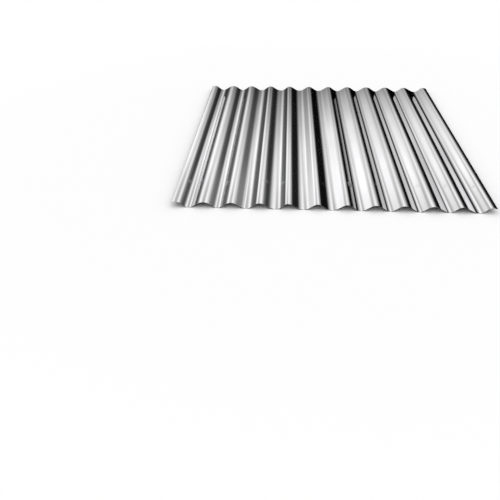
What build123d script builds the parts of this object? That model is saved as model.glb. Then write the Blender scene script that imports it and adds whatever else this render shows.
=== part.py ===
"""A corrugated steel sheet: one flat strip roll-formed into round waves and cut square at both ends.

The waves run along Y, X crosses them and Z is up. The origin is in the middle of the sheet, on the
plane that the undersides of the troughs rest on. All sizes are in millimetres.
"""

from build123d import *

import os
from math import asin, atan2, hypot, tan

# The rolled section.
pitch = 76.0  # from one crest to the next
wave_depth = 16.0  # from the top of a trough to the top of a crest
wave_count = 11  # whole waves between the two outer crests
flank_length = 14.0  # the straight stretch between a crest's arc and a trough's arc
side_lip = 9.0  # strip beyond the top of each outer crest, measured along the curve
sheet_thickness = 0.7

# The cut length, along the waves.
sheet_length = 1000.0

# Each half wave is two equal arcs, a crest's and a trough's, joined by a straight flank that
# touches both. Its span and its depth leave one radius for the arcs' middle line.
half_wave = pitch / 2
bend_radius = (half_wave**2 + wave_depth**2 - flank_length**2) / (4 * wave_depth)

# A flank's slope: the line between the two arcs' centres rises, and the flank crosses it.
centres_rise = 2 * bend_radius - wave_depth
centres_apart = hypot(half_wave, centres_rise)
flank_angle = asin(2 * bend_radius / centres_apart) - atan2(centres_rise, half_wave)

# The flat strip that goes into the rolls.
wave_strip = 4 * bend_radius * flank_angle + 2 * flank_length
strip_width = wave_count * wave_strip + 2 * side_lip

# Long flanks meet in a zigzag about the middle height, and the arcs round its corners.
middle_height = (sheet_thickness + wave_depth) / 2
corner_height = half_wave / 2 * tan(flank_angle)
side_waves = 1 + int(side_lip / wave_strip)
end_corner = wave_count + 2 * side_waves

with BuildPart() as corrugated_sheet:
    with BuildSketch(Plane.XZ) as section:
        with BuildLine() as strip_outline:
            corners = []
            for corner in range(-end_corner, end_corner + 1):
                side = 1 if (corner - wave_count) % 2 == 0 else -1
                corners.append((corner * half_wave, middle_height + side * corner_height))
            waves = FilletPolyline(*corners, radius=bend_radius, mode=Mode.PRIVATE)

            # The strip is centred on the waves, so both lips are cut to the same width.
            offcut = (1 - strip_width / waves.length) / 2
            middle_line = waves.trim(offcut, 1 - offcut)
            underside = middle_line.offset_2d(sheet_thickness / 2, side=Side.RIGHT, closed=False)
            add(underside)
            offset(amount=sheet_thickness, side=Side.LEFT)
        make_face()
    extrude(amount=sheet_length / 2, both=True)

corrugated_sheet.part.label = "corrugated_sheet"

os.makedirs("parts", exist_ok=True)
export_step(corrugated_sheet.part, "parts/corrugated_sheet.step")
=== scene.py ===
"""A corrugated steel sheet: the bright rolled metal, its cut edges and the studio that it lies in.

The sheet lies flat with its waves along Y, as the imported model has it. Lengths are in metres.
"""

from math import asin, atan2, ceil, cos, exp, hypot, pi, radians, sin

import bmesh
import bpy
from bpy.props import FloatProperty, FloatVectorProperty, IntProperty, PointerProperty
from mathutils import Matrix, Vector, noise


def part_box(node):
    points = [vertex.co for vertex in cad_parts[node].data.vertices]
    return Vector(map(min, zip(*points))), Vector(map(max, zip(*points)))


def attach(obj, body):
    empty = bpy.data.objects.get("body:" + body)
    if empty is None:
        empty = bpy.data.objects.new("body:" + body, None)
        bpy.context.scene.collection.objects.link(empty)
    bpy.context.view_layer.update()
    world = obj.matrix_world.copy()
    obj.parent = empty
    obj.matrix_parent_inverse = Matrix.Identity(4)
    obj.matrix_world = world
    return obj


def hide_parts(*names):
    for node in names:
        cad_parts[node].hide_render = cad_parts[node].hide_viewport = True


bl_info = {
    "name": "Corrugated Steel Sheet",
    "version": (1, 0, 0),
    "blender": (4, 5, 0),
    "location": "View3D > Sidebar > Corrugated Sheet",
    "description": "Rolls a corrugated sheet with a bright zinc coating and sets up its studio",
    "category": "Add Mesh",
}

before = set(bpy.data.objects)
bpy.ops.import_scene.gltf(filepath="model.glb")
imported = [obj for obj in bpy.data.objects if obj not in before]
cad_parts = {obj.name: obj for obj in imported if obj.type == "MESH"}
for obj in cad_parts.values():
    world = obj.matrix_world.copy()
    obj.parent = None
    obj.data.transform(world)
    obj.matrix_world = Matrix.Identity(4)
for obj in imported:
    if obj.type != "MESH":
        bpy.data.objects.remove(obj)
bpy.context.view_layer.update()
lowest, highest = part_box("corrugated_sheet")

MM = 0.001


# Settings

class SheetShape(bpy.types.PropertyGroup):
    """The rolled section, the cut length and the small faults of the metal."""

    pitch: FloatProperty(
        name="Pitch",
        description="From one crest to the next",
        default=76 * MM,
        min=10 * MM,
        unit="LENGTH",
    )
    flank_length: FloatProperty(
        name="Flank",
        description="The straight stretch between a crest's arc and a trough's arc",
        default=14 * MM,
        min=0.1 * MM,
        unit="LENGTH",
    )
    wave_count: IntProperty(
        name="Waves",
        description="Whole waves between the two outer crests, an odd number",
        default=11,
        min=1,
    )
    side_lip: FloatProperty(
        name="Side Lip",
        description="Metal beyond the top of each outer crest, measured along the curve",
        default=9 * MM,
        unit="LENGTH",
    )
    thickness: FloatProperty(
        name="Thickness",
        description="How thick the metal is",
        default=0.7 * MM,
        unit="LENGTH",
    )
    length: FloatProperty(
        name="Length",
        description="The cut length, along the waves",
        default=highest.y - lowest.y,
        unit="LENGTH",
    )
    height: FloatProperty(
        name="Height",
        description="From the underside of a trough to the top of a crest",
        default=highest.z - lowest.z,
        unit="LENGTH",
    )
    arc_steps: IntProperty(
        name="Arc Steps",
        description="Faces along each arc of a half wave",
        default=6,
        min=2,
    )
    flank_steps: IntProperty(
        name="Flank Steps",
        description="Faces along each straight flank",
        default=3,
        min=1,
    )
    row_step: FloatProperty(
        name="Row Step",
        description="Length of the faces along the waves",
        default=11 * MM,
        unit="LENGTH",
    )
    fine_row_step: FloatProperty(
        name="Fine Row Step",
        description="Length of the faces along the waves near the handled spots",
        default=3.5 * MM,
        unit="LENGTH",
    )
    unevenness: FloatProperty(
        name="Unevenness",
        description="How uneven the waves are, from none to as the rolls left them",
        default=1.0,
        min=0,
        max=1,
    )
    sway: FloatProperty(
        name="Sway",
        description="How far the metal wanders in and out along the waves",
        default=0.05 * MM,
        unit="LENGTH",
    )
    handled_place: FloatProperty(
        name="Handled Place",
        description="Where along the sheet the row of handled spots crosses it",
        default=-360 * MM,
        unit="LENGTH",
    )
    spot_reach: FloatProperty(
        name="Spot Reach",
        description="How far from its middle a handled spot has faded to about a third",
        default=7 * MM,
        unit="LENGTH",
    )
    spot_depth: FloatProperty(
        name="Spot Depth",
        description="Depth of the dent in the most handled spot",
        default=0.04 * MM,
        unit="LENGTH",
    )


class SheetFinish(bpy.types.PropertyGroup):
    """The zinc coating, its rolling lines and the bare cut edge."""

    zinc_color: FloatVectorProperty(
        name="Zinc",
        description="What the bright coating mirrors",
        subtype="COLOR",
        size=3,
        default=(0.82, 0.82, 0.83),
        min=0,
        max=1,
    )
    dull_color: FloatVectorProperty(
        name="Dulled Zinc",
        description="The coating where it has been handled",
        subtype="COLOR",
        size=3,
        default=(0.66, 0.66, 0.67),
        min=0,
        max=1,
    )
    steel_color: FloatVectorProperty(
        name="Bare Steel",
        description="The steel that a cut edge lays open",
        subtype="COLOR",
        size=3,
        default=(0.50, 0.50, 0.51),
        min=0,
        max=1,
    )
    roughness: FloatProperty(
        name="Roughness",
        description="How much the coating blurs what it mirrors",
        default=0.06,
        min=0,
        max=1,
    )
    line_depth: FloatProperty(
        name="Rolling Line Depth",
        description="Height of the fine lines that the rolls leave along the waves",
        default=0.004 * MM,
        unit="LENGTH",
    )


class SheetStudio(bpy.types.PropertyGroup):
    """The camera, the floor and the tent of soft light."""

    camera_place: FloatVectorProperty(
        name="Camera",
        description="Where the camera stands",
        subtype="XYZ",
        unit="LENGTH",
        size=3,
        default=(-0.1293, -1.9008, 0.7677),
    )
    camera_tilt: FloatProperty(
        name="Tilt",
        description="How far the camera looks down",
        default=radians(32.61),
        subtype="ANGLE",
        unit="ROTATION",
    )
    camera_turn: FloatProperty(
        name="Turn",
        description="How far the camera turns left from straight along the waves",
        default=radians(3.65),
        subtype="ANGLE",
        unit="ROTATION",
    )
    camera_roll: FloatProperty(
        name="Roll",
        description="How far the camera leans about its own line of sight",
        default=radians(0.53),
        subtype="ANGLE",
        unit="ROTATION",
    )
    lens: FloatProperty(
        name="Lens",
        description="Focal length in millimetres on a sensor 36 mm wide",
        default=43.2,
    )
    tent_radius: FloatProperty(
        name="Tent Radius",
        description="Radius of the tent of soft light that the metal mirrors",
        default=7.0,
        unit="LENGTH",
    )
    tent_level: FloatProperty(
        name="Tent Level",
        description="Brightness of the tent where its share is one",
        default=1.28,
    )
    room_level: FloatProperty(
        name="Room Level",
        description="Brightness of the even light on the floor",
        default=1.04,
    )
    floor_color: FloatVectorProperty(
        name="Floor",
        description="The pale floor",
        subtype="COLOR",
        size=3,
        default=(0.95, 0.95, 0.95),
        min=0,
        max=1,
    )


# The rolled section

class WaveSection:
    """The middle line of the metal: equal arcs at the crests and troughs, joined by straight flanks."""

    def __init__(self, shape):
        self.half_wave = shape.pitch / 2
        self.depth = shape.height - shape.thickness
        self.bottom = shape.thickness / 2
        square = self.half_wave**2 + self.depth**2 - shape.flank_length**2
        self.radius = square / (4 * self.depth)
        rise = 2 * self.radius - self.depth
        apart = hypot(self.half_wave, rise)
        self.flank_angle = asin(2 * self.radius / apart) - atan2(rise, self.half_wave)
        self.arc_length = self.radius * self.flank_angle
        self.flank_length = shape.flank_length
        self.half_strip = 2 * self.arc_length + self.flank_length

    def rising(self, distance):
        """Across, up and slope, a distance along one half wave from its trough to its crest."""
        if distance > self.half_strip / 2:
            across, up, slope = self.rising(self.half_strip - distance)
            return self.half_wave - across, self.depth - up, slope
        slope = min(distance / self.radius, self.flank_angle)
        on_flank = max(distance - self.arc_length, 0)
        across = self.radius * sin(slope) + on_flank * cos(slope)
        up = self.radius * (1 - cos(slope)) + on_flank * sin(slope)
        return across, up, slope

    def at(self, strip):
        """Across, up and slope at a distance along the strip from the middle trough, left negative."""
        side = -1 if strip < 0 else 1
        index = int(abs(strip) // self.half_strip)
        along = abs(strip) - index * self.half_strip
        if index % 2 == 0:
            across, up, slope = self.rising(along)
        else:
            across, up, slope = self.rising(self.half_strip - along)
            across = self.half_wave - across
            slope = -slope
        return side * (index * self.half_wave + across), self.bottom + up, side * slope


# No line of points lies nearer than this to the outermost one.
LEAST_GAP = 0.5 * MM


def strip_stations(section, shape, half_width):
    """Distances along the strip of every line of points, closer on the arcs than on the flanks."""
    one_half = [section.arc_length * i / shape.arc_steps for i in range(shape.arc_steps)]
    for i in range(shape.flank_steps):
        one_half.append(section.arc_length + section.flank_length * i / shape.flank_steps)
    for i in range(shape.arc_steps):
        one_half.append(section.half_strip - section.arc_length * (1 - i / shape.arc_steps))
    halves = ceil(half_width / section.half_strip)
    starts = [half * section.half_strip for half in range(halves)]
    right = [start + distance for start in starts for distance in one_half]
    right = [distance for distance in right if distance < half_width - LEAST_GAP] + [half_width]
    return [-distance for distance in reversed(right[1:])] + right


# How much longer than wide a handled spot is, and how many reaches from its middle it ends.
SPOT_LENGTHENING = 1.5
SPOT_END = 3


def length_stations(shape, half_length):
    """Places along the waves of every row of points, closer together near the handled spots."""
    fine_from = shape.handled_place - SPOT_END * shape.spot_reach - shape.row_step
    fine_to = shape.handled_place + SPOT_END * shape.spot_reach
    places = [-half_length]
    while places[-1] < half_length - shape.row_step:
        fine = fine_from < places[-1] < fine_to
        places.append(places[-1] + (shape.fine_row_step if fine else shape.row_step))
    return places + [half_length]


# What the rolls made of each crest, from the left: how far right of true it lies, in millimetres,
# and how much broader than true it is, as a share. The troughs beside it are as much narrower.
CRESTS = (
    (0, 0.10),
    (0, 0.30),
    (-2, 0.05),
    (-3.5, -0.30),
    (-3, -0.20),
    (-0.5, -0.20),
    (1.5, -0.15),
    (0.5, 0.15),
    (0, 0.25),
    (-1, 0.30),
    (-4, -0.05),
    (-3.5, -0.05),
)

# The same for each trough: how far right of true it lies, in millimetres, and how much steeper
# than true the flanks on its left and right are, in degrees.
TROUGHS = (
    (-2.5, 2, -1),
    (-3, -3, -0.5),
    (-2, -4, 0),
    (3, 3, -4),
    (1, 0, -3),
    (0.5, -1, -3),
    (0.5, 0, -3),
    (0, 0, -2),
    (0.5, -1, -2),
    (0, -5, -2),
    (1, -2, 0),
)

# Flanks that bend all the way from arc to arc, with no straight stretch between them, counted from 0
# at the left, and how strongly they bend.
ROUNDED_FLANKS = {2: 1.2, 4: 1.2}

# How far the edges of the left and the right lip hang below true, in millimetres.
LIP_DROOPS = (0, 0.9)


class UnevenWaves:
    """Moves points of the true section to where the rolls left them."""

    def __init__(self, section, shape):
        self.half_wave = section.half_wave
        self.outer_crest = section.half_wave * shape.wave_count
        self.last_flank = 2 * shape.wave_count - 1
        self.lowest = section.bottom
        self.highest = section.bottom + section.depth
        # The scale of the change in height, for each radian that a flank is steeper than true.
        self.lift = section.half_wave / (4 * pi) / cos(section.flank_angle) ** 2
        self.lip = shape.side_lip
        self.unevenness = shape.unevenness

    def moved(self, across, up, slope):
        """Across, up and slope of a point, from those of the same point on the true section."""
        flank = int((across + self.outer_crest) // self.half_wave)
        flank = min(max(flank, 0), self.last_flank)
        rises = flank % 2
        side = 1 if rises else -1
        crest_shift, broader = CRESTS[(flank // 2 + rises) % len(CRESTS)]
        trough_shift, *steeper = TROUGHS[flank // 2 % len(TROUGHS)]
        lift = radians(steeper[rises]) * self.lift * self.unevenness
        broader *= self.unevenness

        crest = flank * self.half_wave - self.outer_crest
        trough = crest + self.half_wave
        if rises:
            crest, trough = trough, crest
        turn = pi * (across - trough) / self.half_wave
        beyond = max(abs(across) - self.outer_crest, 0) / self.lip
        if beyond:
            turn = pi

        if up > (self.lowest + self.highest) / 2:
            across = crest + (1 + broader) * (across - crest)
            up = self.highest + (1 + broader) * (up - self.highest)
        else:
            across = trough + (1 - broader) * (across - trough)
            up = self.lowest + (1 - broader) * (up - self.lowest)
        near_crest = sin(turn / 2) ** 2
        shift = trough_shift + (crest_shift - trough_shift) * near_crest
        across += shift * (1 - beyond**2) * MM * self.unevenness

        # A flank that is steeper or flatter turns about its middle, and its crest and trough stay.
        sine, cosine = sin(turn), cos(turn)
        rounder = ROUNDED_FLANKS.get(flank, 0.0)
        droop = LIP_DROOPS[rises] * MM * self.unevenness
        up -= 4 * lift * sine**2 * cosine * (1 + rounder * cosine**2) + droop * beyond**2
        rise = sine * (sine**2 - 2 * cosine**2)
        rise += rounder * sine * cosine**2 * (3 * sine**2 - 2 * cosine**2)
        rise *= 4 * lift * pi / self.half_wave
        rise -= side * 2 * droop * beyond / self.lip
        return across, up, atan2(sin(slope) + rise * cos(slope), cos(slope))


# Where the sheet has been handled, in millimetres across it and beyond the row's place along it, and
# how strongly.
HANDLED_SPOTS = (
    (-399, 2, 0.6),
    (-362, -1, 0.15),
    (-288, 0, 0.2),
    (-252, 1, 0.3),
    (-182, 2, 0.6),
    (-132, 1, 0.3),
    (-20, 0, 0.2),
    (56, -2, 1.0),
    (128, -1, 0.3),
    (246, -2, 0.4),
    (322, -1, 0.4),
    (400, -2, 0.5),
)


def handled(shape, across, place):
    """How strongly a point has been handled, from 0 to 1."""
    reach = shape.spot_reach
    along_row = place - shape.handled_place
    most = 0
    for spot_across, spot_along, strength in HANDLED_SPOTS:
        beside = (across - spot_across * MM) / reach
        beyond = (along_row - spot_along * MM) / (SPOT_LENGTHENING * reach)
        if abs(beside) < SPOT_END and abs(beyond) < SPOT_END:
            most = max(most, strength * exp(-(beside**2) - beyond**2))
    return most


# How a guillotine leaves the edge, from the top face down: how far it stays inside the cut and how
# deep below the top face, as shares of the thickness. The top rolls over and the foot is nearly sharp.
CUT_EDGE = ((0.30, 0.0), (0.12, 0.04), (0.03, 0.14), (0.0, 0.30), (0.03, 0.94), (0.30, 1.0))

# How often to the metre the metal wanders in and out, across the strip and along the waves, and the
# layer of the noise that it follows.
SWAYS_ACROSS = 9
SWAYS_ALONG = 5
SWAY_LAYER = 0.3


def rim_of(rows, lines):
    """Row and line of each point round a grid's edge, anticlockwise from its near left corner."""
    last_row, last_line = rows - 1, lines - 1
    rim = [(0, line) for line in range(last_line)]
    rim += [(row, last_line) for row in range(last_row)]
    rim += [(last_row, line) for line in range(last_line, 0, -1)]
    return rim + [(row, 0) for row in range(last_row, 0, -1)]


def sides_of(loop):
    """Each point of a closed loop with the next one."""
    return zip(loop, loop[1:] + loop[:1])


def close_edge(mesh, loops):
    """The cut edge, between loops of points one below the other, crisp along both faces."""
    for upper_loop, lower_loop in zip(loops, loops[1:]):
        for upper, lower in zip(sides_of(upper_loop), sides_of(lower_loop)):
            face = mesh.faces.new((upper[0], lower[0], lower[1], upper[1]))
            face.material_index = 1
    for loop in (loops[0], loops[-1]):
        for side in sides_of(loop):
            mesh.edges.get(side).smooth = False


def sheet_mesh(shape):
    """One closed mesh: the top and underside as grids of points, and the cut edge all round."""
    section = WaveSection(shape)
    half_width = shape.wave_count * section.half_strip + shape.side_lip
    half_length = shape.length / 2
    thickness = shape.thickness
    inset = CUT_EDGE[0][0] * thickness
    waves = UnevenWaves(section, shape)
    strips = strip_stations(section, shape, half_width - inset)
    places = length_stations(shape, half_length - inset)

    mesh = bmesh.new()
    handling = mesh.verts.layers.float.new("handling")

    def point(strip, place, below_top):
        across, up, slope = waves.moved(*section.at(strip))
        strength = handled(shape, across, place)
        wander = noise.noise(Vector((strip * SWAYS_ACROSS, place * SWAYS_ALONG, SWAY_LAYER)))
        off = wander * shape.sway - strength * shape.spot_depth + thickness / 2 - below_top
        vert = mesh.verts.new((across - off * sin(slope), place, up + off * cos(slope)))
        vert[handling] = strength
        return vert

    def rim_point(row, line, kept_inside, depth):
        outward = inset - kept_inside * thickness
        strip, place = strips[line], places[row]
        if line in (0, len(strips) - 1):
            strip += outward if line else -outward
        if row in (0, len(places) - 1):
            place += outward if row else -outward
        return point(strip, place, depth * thickness)

    top = [[point(strip, place, 0) for strip in strips] for place in places]
    under = [[point(strip, place, thickness) for strip in strips] for place in places]
    for j in range(len(places) - 1):
        for i in range(len(strips) - 1):
            mesh.faces.new((top[j][i], top[j][i + 1], top[j + 1][i + 1], top[j + 1][i]))
            mesh.faces.new((under[j][i], under[j + 1][i], under[j + 1][i + 1], under[j][i + 1]))

    rim = rim_of(len(places), len(strips))
    loops = [[top[row][line] for row, line in rim]]
    for kept_inside, depth in CUT_EDGE[1:-1]:
        loops.append([rim_point(row, line, kept_inside, depth) for row, line in rim])
    loops.append([under[row][line] for row, line in rim])
    close_edge(mesh, loops)
    for face in mesh.faces:
        face.smooth = True
    mesh.normal_update()
    data = bpy.data.meshes.new("rolled_sheet")
    mesh.to_mesh(data)
    mesh.free()
    return data


# Materials

# Fine lines to the metre, across, along and up the sheet: from the rolls in the zinc, and from the
# blade in the cut edge.
ROLLING_LINES = (900.0, 2.5, 900.0)
BLADE_LINES = (2600.0, 2600.0, 220.0)

# How many wide lines there are for each fine one.
WIDE_LINES = 0.17

# Faint clouds to the metre in the zinc, across, along and up the sheet.
ZINC_CLOUDS = (9.0, 3.0, 9.0)

# How much rougher than the plain coating the rolling lines, the clouds and the handled spots are.
LINE_ROUGHNESS = 0.03
CLOUD_ROUGHNESS = 0.06
HANDLED_ROUGHNESS = 0.4

# How many times deeper than a rolling line the blade scores the cut edge, and how rough it is where
# the scores lie low and high.
BLADE_DEPTH = 4
EDGE_ROUGHNESS = (0.28, 0.48)


class Nodes:
    """Short calls for one node tree."""

    def __init__(self, tree):
        self.tree = tree

    def add(self, kind, **settings):
        node = self.tree.nodes.new(kind)
        for name, value in settings.items():
            setattr(node, name, value)
        return node

    def feed(self, socket, value):
        if isinstance(value, bpy.types.NodeSocket):
            self.tree.links.new(value, socket)
        else:
            socket.default_value = value

    def math(self, operation, *values, clamp=False):
        node = self.add("ShaderNodeMath", operation=operation, use_clamp=clamp)
        for socket, value in zip(node.inputs, values):
            self.feed(socket, value)
        return node.outputs[0]

    def noise(self, vector, scale, detail=2.0, rough=0.5):
        node = self.add("ShaderNodeTexNoise")
        self.feed(node.inputs["Vector"], vector)
        self.feed(node.inputs["Scale"], scale)
        self.feed(node.inputs["Detail"], detail)
        self.feed(node.inputs["Roughness"], rough)
        return node.outputs["Fac"]

    def stretched(self, vector, scale):
        node = self.add("ShaderNodeVectorMath", operation="MULTIPLY")
        self.feed(node.inputs[0], vector)
        self.feed(node.inputs[1], scale)
        return node.outputs[0]

    def between(self, value, low, high, to_low=0.0, to_high=1.0):
        """Value from low to high, eased and spread from to_low to to_high."""
        node = self.add("ShaderNodeMapRange", interpolation_type="SMOOTHSTEP")
        for name, given in (
            ("Value", value),
            ("From Min", low),
            ("From Max", high),
            ("To Min", to_low),
            ("To Max", to_high),
        ):
            self.feed(node.inputs[name], given)
        return node.outputs["Result"]

    def mix(self, factor, first, second):
        node = self.add("ShaderNodeMix", data_type="RGBA")
        colors = [s for s in node.inputs if s.type == "RGBA"]
        self.feed(node.inputs[0], factor)
        self.feed(colors[0], first)
        self.feed(colors[1], second)
        return [s for s in node.outputs if s.type == "RGBA"][0]


def fine_lines_group():
    """Fine lines along one direction, as rolls and blades leave them in metal: 0 low, 1 high."""
    found = bpy.data.node_groups.get("fine_lines")
    if found:
        return found
    tree = bpy.data.node_groups.new("fine_lines", "ShaderNodeTree")
    sockets = tree.interface
    sockets.new_socket(name="Vector", in_out="INPUT", socket_type="NodeSocketVector")
    sockets.new_socket(name="Stretch", in_out="INPUT", socket_type="NodeSocketVector")
    sockets.new_socket(name="Wide Share", in_out="INPUT", socket_type="NodeSocketFloat")
    sockets.new_socket(name="Lines", in_out="OUTPUT", socket_type="NodeSocketFloat")
    nodes = Nodes(tree)
    given = nodes.add("NodeGroupInput")
    put = nodes.add("NodeGroupOutput")
    place = nodes.stretched(given.outputs["Vector"], given.outputs["Stretch"])
    fine = nodes.noise(place, 1.0, detail=3.0, rough=0.6)
    wide = nodes.noise(place, WIDE_LINES, detail=1.0)
    share = given.outputs["Wide Share"]
    kept = nodes.math("MULTIPLY", fine, nodes.math("SUBTRACT", 1.0, share))
    nodes.feed(put.inputs["Lines"], nodes.math("ADD", kept, nodes.math("MULTIPLY", wide, share)))
    return tree


def add_fine_lines(nodes, vector, stretch, wide_share):
    node = nodes.add("ShaderNodeGroup", node_tree=fine_lines_group())
    nodes.feed(node.inputs["Vector"], vector)
    nodes.feed(node.inputs["Stretch"], stretch)
    nodes.feed(node.inputs["Wide Share"], wide_share)
    return node.outputs["Lines"]


def add_bump(nodes, shader, heights, depth):
    bump = nodes.add("ShaderNodeBump")
    bump.inputs["Distance"].default_value = depth
    nodes.feed(bump.inputs["Height"], heights)
    nodes.feed(shader.inputs["Normal"], bump.outputs[0])


def empty_material(name):
    material = bpy.data.materials.new(name)
    material.use_nodes = True
    material.node_tree.nodes.clear()
    return material, Nodes(material.node_tree)


def cover_surface(nodes, shader):
    """Give the whole surface to a shader."""
    output = nodes.add("ShaderNodeOutputMaterial")
    nodes.feed(output.inputs["Surface"], shader.outputs[0])


def metal_material(name):
    """A material that is all metal, with its one shader."""
    material, nodes = empty_material(name)
    shader = nodes.add("ShaderNodeBsdfPrincipled")
    shader.inputs["Metallic"].default_value = 1.0
    cover_surface(nodes, shader)
    return material, nodes, shader


def zinc_material(finish):
    """Bright zinc coating: rolling lines along the waves, faint clouds and dull handled spots."""
    material, nodes, shader = metal_material("zinc_coating")
    place = nodes.add("ShaderNodeTexCoord").outputs["Object"]
    lines = add_fine_lines(nodes, place, ROLLING_LINES, wide_share=0.45)
    clouds = nodes.noise(nodes.stretched(place, ZINC_CLOUDS), 1.0, detail=3.0)
    dulled = nodes.add("ShaderNodeAttribute", attribute_name="handling").outputs["Fac"]

    zinc = (*finish.zinc_color, 1.0)
    dull = (*finish.dull_color, 1.0)
    cloud_mask = nodes.between(clouds, 0.3, 0.7, to_high=0.5)
    line_mask = nodes.between(lines, 0.35, 0.7, to_high=0.3)
    shaded = nodes.math("MAXIMUM", nodes.math("ADD", cloud_mask, line_mask), dulled, clamp=True)
    nodes.feed(shader.inputs["Base Color"], nodes.mix(shaded, zinc, dull))

    rough = nodes.math("MULTIPLY_ADD", lines, LINE_ROUGHNESS, finish.roughness - LINE_ROUGHNESS / 2)
    rough = nodes.math("MULTIPLY_ADD", cloud_mask, CLOUD_ROUGHNESS, rough)
    rough = nodes.math("MULTIPLY_ADD", dulled, HANDLED_ROUGHNESS, rough)
    nodes.feed(shader.inputs["Roughness"], rough)
    add_bump(nodes, shader, lines, finish.line_depth)
    return material


def cut_edge_material(finish):
    """Bare steel at the guillotined edge, scored by the blade from top to foot."""
    material, nodes, shader = metal_material("cut_edge")
    place = nodes.add("ShaderNodeTexCoord").outputs["Object"]
    scores = add_fine_lines(nodes, place, BLADE_LINES, wide_share=0.3)
    steel = (*finish.steel_color, 1.0)
    zinc = (*finish.zinc_color, 1.0)
    smeared = nodes.between(scores, 0.4, 0.7)
    nodes.feed(shader.inputs["Base Color"], nodes.mix(smeared, steel, zinc))
    nodes.feed(shader.inputs["Roughness"], nodes.between(scores, 0.3, 0.7, *EDGE_ROUGHNESS))
    add_bump(nodes, shader, scores, BLADE_DEPTH * finish.line_depth)
    return material


class CORRUGATED_OT_roll_sheet(bpy.types.Operator):
    """Roll the corrugated sheet and coat it with zinc"""

    bl_idname = "corrugated.roll_sheet"
    bl_label = "Roll the Sheet"

    def execute(self, context):
        shape = context.scene.sheet_shape
        finish = context.scene.sheet_finish
        if shape.wave_count % 2 == 0:
            raise ValueError("the sheet is centred on a trough, so it has an odd number of waves")
        sheet = bpy.data.objects.new("rolled_sheet", sheet_mesh(shape))
        context.scene.collection.objects.link(sheet)
        sheet.data.materials.append(zinc_material(finish))
        sheet.data.materials.append(cut_edge_material(finish))
        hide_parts("corrugated_sheet")
        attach(sheet, "root")
        return {"FINISHED"}


# The studio

# How bright the tent is, as a share, at degrees from straight up, from level with the floor on the
# left to level on the right: a broad soft light up to the left, greyer cloth beside it, a second
# light right of the top and dark cloth low on the right.
TENT_ARCH = (
    (-90, 0.015),
    (-80, 0.07),
    (-75, 0.16),
    (-70, 0.31),
    (-60, 0.73),
    (-55, 0.90),
    (-50, 0.95),
    (-45, 0.86),
    (-40, 0.75),
    (-35, 0.58),
    (-30, 0.48),
    (-20, 0.43),
    (-13, 0.46),
    (-7, 0.58),
    (0, 0.76),
    (7, 0.89),
    (15, 0.94),
    (23, 0.90),
    (30, 0.77),
    (36, 0.54),
    (42, 0.32),
    (48, 0.155),
    (54, 0.05),
    (59, 0.015),
    (70, 0.005),
    (90, 0.0),
)

# The same at degrees from the far end, which is level with the floor and dark, up to the middle. The
# near half of the tent is as bright as its middle.
TENT_ENDS = (
    (13, 0.01),
    (15, 0.10),
    (17, 0.26),
    (20, 0.48),
    (24, 0.77),
    (28, 0.96),
    (32, 1.0),
    (90, 1.0),
)

# Patches low in the far end of the tent, three lighter and one darker: how far each is from straight
# up and from the far end, half its width and height, all in degrees, and what it adds or takes.
TENT_PATCHES = (
    (-34, 23.5, 25, 9.2, 0.47),
    (-14, 23, 18, 9, 0.22),
    (49, 29, 8, 6, 0.08),
    (26, 31, 13, 7, -0.20),
)


# Straight edges round the tent and the floor, and how much wider than the tent the floor is.
ROUND_EDGES = 96
FLOOR_SPREAD = 1.2

# How far from the sheet's middle the floor starts to fade and has faded to plain white, in metres.
FLOOR_FADE = (0.9, 1.6)

# The camera's sensor, in millimetres, and how far it sees, in metres.
SENSOR_WIDTH = 36.0
SIGHT = 50.0


def brightness_ramp(nodes, angle, stops):
    """Brightness against an angle in radians, from stops of degrees and brightness."""
    start, end = stops[0][0], stops[-1][0]
    span = radians(end - start)
    share = nodes.math("DIVIDE", nodes.math("SUBTRACT", angle, radians(start)), span, clamp=True)
    ramp = nodes.add("ShaderNodeValToRGB")
    nodes.feed(ramp.inputs[0], share)
    elements = ramp.color_ramp.elements
    while len(elements) < len(stops):
        elements.new(1.0)
    for element, (stop, level) in zip(elements, stops):
        element.position = (stop - start) / (end - start)
        element.color = (level, level, level, 1.0)
    return ramp.outputs["Color"]


def tent_material(studio):
    """Soft light that changes only over the tent itself."""
    material, nodes = empty_material("tent_cloth")
    material.cycles.emission_sampling = "NONE"
    place = nodes.add("ShaderNodeSeparateXYZ")
    nodes.feed(place.inputs[0], nodes.add("ShaderNodeTexCoord").outputs["Object"])
    around = nodes.math("ARCTAN2", place.outputs["X"], place.outputs["Z"])
    beyond = nodes.math("MAXIMUM", place.outputs["Y"], 0.0)
    from_end = nodes.math("ARCCOSINE", nodes.math("DIVIDE", beyond, studio.tent_radius))
    arch = brightness_ramp(nodes, around, TENT_ARCH)
    ends = brightness_ramp(nodes, from_end, TENT_ENDS)
    level = nodes.math("MULTIPLY", nodes.math("MULTIPLY", arch, ends), studio.tent_level)
    for at_around, at_end, half_width, half_height, brightness in TENT_PATCHES:
        beside = nodes.math("SUBTRACT", around, radians(at_around))
        beside = nodes.math("DIVIDE", beside, radians(half_width))
        above = nodes.math("SUBTRACT", from_end, radians(at_end))
        above = nodes.math("DIVIDE", above, radians(half_height))
        apart = nodes.math("ADD", nodes.math("POWER", beside, 2.0), nodes.math("POWER", above, 2.0))
        level = nodes.math("ADD", level, nodes.between(apart, 1.0, 0.0, 0.0, brightness))
    glow = nodes.add("ShaderNodeEmission")
    nodes.feed(glow.inputs["Strength"], nodes.math("MAXIMUM", level, 0.0))
    cover_surface(nodes, glow)
    return material


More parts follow.
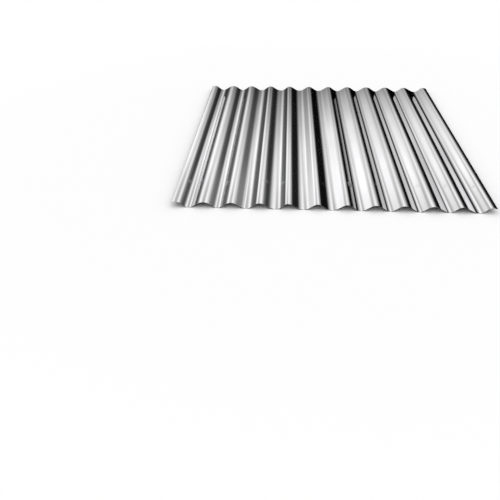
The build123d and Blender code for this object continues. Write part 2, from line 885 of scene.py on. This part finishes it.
def floor_material(studio):
    """Matt and pale under the sheet, fading into plain white further out."""
    material, nodes = empty_material("pale_floor")
    matt = nodes.add("ShaderNodeBsdfPrincipled")
    matt.inputs["Base Color"].default_value = (*studio.floor_color, 1.0)
    matt.inputs["Roughness"].default_value = 1.0
    matt.inputs["Specular IOR Level"].default_value = 0.0
    white = nodes.add("ShaderNodeEmission")
    away = nodes.add("ShaderNodeVectorMath", operation="LENGTH")
    nodes.feed(away.inputs[0], nodes.add("ShaderNodeTexCoord").outputs["Object"])
    fade = nodes.add("ShaderNodeMixShader")
    nodes.feed(fade.inputs[0], nodes.between(away.outputs["Value"], *FLOOR_FADE))
    nodes.feed(fade.inputs[1], matt.outputs[0])
    nodes.feed(fade.inputs[2], white.outputs[0])
    cover_surface(nodes, fade)
    return material


def add_staged(scene, name, mesh, material):
    """One object of the studio, from its finished mesh."""
    data = bpy.data.meshes.new(name)
    mesh.to_mesh(data)
    mesh.free()
    data.materials.append(material)
    staged = bpy.data.objects.new(name, data)
    scene.collection.objects.link(staged)
    return staged


def add_tent(scene, studio):
    """The tent of soft light, which only the metal mirrors."""
    mesh = bmesh.new()
    bmesh.ops.create_uvsphere(
        mesh, u_segments=ROUND_EDGES, v_segments=ROUND_EDGES // 2, radius=studio.tent_radius
    )
    tent = add_staged(scene, "light_tent", mesh, tent_material(studio))
    tent.visible_camera = False
    tent.visible_diffuse = False
    tent.visible_shadow = False
    tent.visible_transmission = False


def add_floor(scene, studio):
    """The pale floor, which takes the sheet's shadow and isn't mirrored in the metal."""
    mesh = bmesh.new()
    radius = FLOOR_SPREAD * studio.tent_radius
    bmesh.ops.create_circle(mesh, cap_ends=True, segments=ROUND_EDGES, radius=radius)
    floor = add_staged(scene, "studio_floor", mesh, floor_material(studio))
    floor.visible_glossy = False


def set_world(scene, studio):
    """Even pale light, and plain white wherever the background shows or is mirrored."""
    world = bpy.data.worlds.new("studio_room")
    world.use_nodes = True
    world.node_tree.nodes.clear()
    nodes = Nodes(world.node_tree)
    path = nodes.add("ShaderNodeLightPath")
    seen = nodes.math("MAXIMUM", path.outputs["Is Camera Ray"], path.outputs["Is Glossy Ray"])
    seen = nodes.math("MAXIMUM", seen, path.outputs["Is Transmission Ray"])
    light = nodes.add("ShaderNodeBackground")
    nodes.feed(light.inputs["Strength"], studio.room_level)
    white = nodes.add("ShaderNodeBackground")
    for background in (light, white):
        nodes.feed(background.inputs["Color"], (1.0, 1.0, 1.0, 1.0))
    either = nodes.add("ShaderNodeMixShader")
    nodes.feed(either.inputs[0], seen)
    nodes.feed(either.inputs[1], light.outputs[0])
    nodes.feed(either.inputs[2], white.outputs[0])
    output = nodes.add("ShaderNodeOutputWorld")
    nodes.feed(output.inputs["Surface"], either.outputs[0])
    scene.world = world


def add_camera(scene, studio):
    data = bpy.data.cameras.new("studio_camera")
    data.sensor_width = SENSOR_WIDTH
    data.lens = studio.lens
    data.clip_end = SIGHT
    camera = bpy.data.objects.new("studio_camera", data)
    scene.collection.objects.link(camera)
    turn = Matrix.Rotation(studio.camera_turn, 4, "Z")
    tilt = Matrix.Rotation(-studio.camera_tilt, 4, "X")
    roll = Matrix.Rotation(studio.camera_roll, 4, "Y")
    level = Matrix.Rotation(radians(90), 4, "X")
    place = Matrix.Translation(Vector(studio.camera_place))
    camera.matrix_world = place @ turn @ tilt @ roll @ level
    scene.camera = camera


class CORRUGATED_OT_set_stage(bpy.types.Operator):
    """Set the camera, the pale floor and the tent of soft light"""

    bl_idname = "corrugated.set_stage"
    bl_label = "Set the Stage"

    def execute(self, context):
        scene = context.scene
        studio = scene.sheet_studio
        add_camera(scene, studio)
        add_floor(scene, studio)
        add_tent(scene, studio)
        set_world(scene, studio)
        scene.view_settings.view_transform = "Standard"
        return {"FINISHED"}


class CORRUGATED_PT_panel(bpy.types.Panel):
    """The sheet's settings and the operators that build it."""

    bl_label = "Corrugated Sheet"
    bl_idname = "CORRUGATED_PT_panel"
    bl_space_type = "VIEW_3D"
    bl_region_type = "UI"
    bl_category = "Corrugated Sheet"

    def draw(self, context):
        layout = self.layout
        layout.use_property_split = True
        scene = context.scene
        for title, settings in (
            ("Shape", scene.sheet_shape),
            ("Finish", scene.sheet_finish),
            ("Studio", scene.sheet_studio),
        ):
            box = layout.box()
            box.label(text=title)
            for name in settings.bl_rna.properties.keys():
                if name not in ("rna_type", "name"):
                    box.prop(settings, name)
        layout.operator(CORRUGATED_OT_roll_sheet.bl_idname)
        layout.operator(CORRUGATED_OT_set_stage.bl_idname)


CLASSES = (
    SheetShape,
    SheetFinish,
    SheetStudio,
    CORRUGATED_OT_roll_sheet,
    CORRUGATED_OT_set_stage,
    CORRUGATED_PT_panel,
)


def register():
    for each in CLASSES:
        bpy.utils.register_class(each)
    bpy.types.Scene.sheet_shape = PointerProperty(type=SheetShape)
    bpy.types.Scene.sheet_finish = PointerProperty(type=SheetFinish)
    bpy.types.Scene.sheet_studio = PointerProperty(type=SheetStudio)


def unregister():
    del bpy.types.Scene.sheet_studio
    del bpy.types.Scene.sheet_finish
    del bpy.types.Scene.sheet_shape
    for each in reversed(CLASSES):
        bpy.utils.unregister_class(each)


def main():
    register()
    bpy.ops.corrugated.roll_sheet()
    bpy.ops.corrugated.set_stage()


if __name__ == "__main__":
    main()
